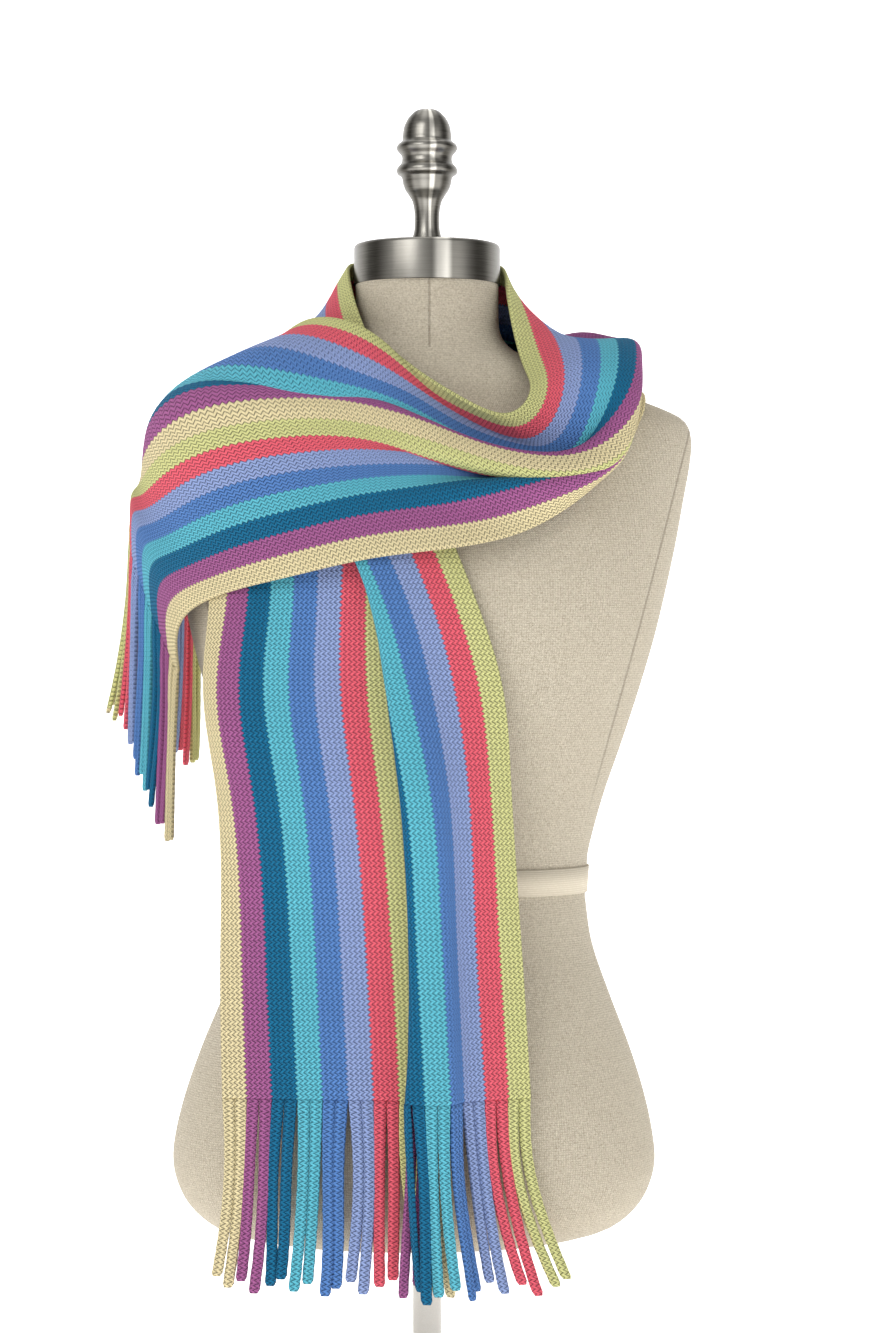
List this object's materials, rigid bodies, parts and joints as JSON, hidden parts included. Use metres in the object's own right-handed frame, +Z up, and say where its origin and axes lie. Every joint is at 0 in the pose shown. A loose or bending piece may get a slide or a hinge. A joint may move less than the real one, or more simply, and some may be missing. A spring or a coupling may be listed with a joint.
{
  "type": "knit scarf on a limbless dress form",
  "caption": "Long striped knit scarf with fringed ends, wound round the neck of a limbless linen dress form on a short plain stand.",
  "frame": {"origin": "centre of the stand base's flat underside, on the surface it stands on", "axes": "+Z up, the form faces -Y, and +X is the viewer's right when looking at its front"},
  "size_m": [0.454, 0.3024, 0.99],
  "materials": {
    "knit": "soft brushed knit in stripes",
    "linen": "plain woven canvas",
    "cotton": "flat woven tape",
    "steel": "brushed",
    "white": "satin white"
  },
  "bodies": {
    "root": {"stand_base": "white", "stand_pole": "white", "form_torso": "linen", "waist_tape": "cotton", "neck_cap": "steel", "finial": "steel", "scarf_front_tail": "knit", "scarf_neck_wrap": "knit", "scarf_chest_band": "knit", "scarf_shoulder_end": "knit", "fringe_front": "knit", "fringe_back": "knit"}
  },
  "joints": []
}
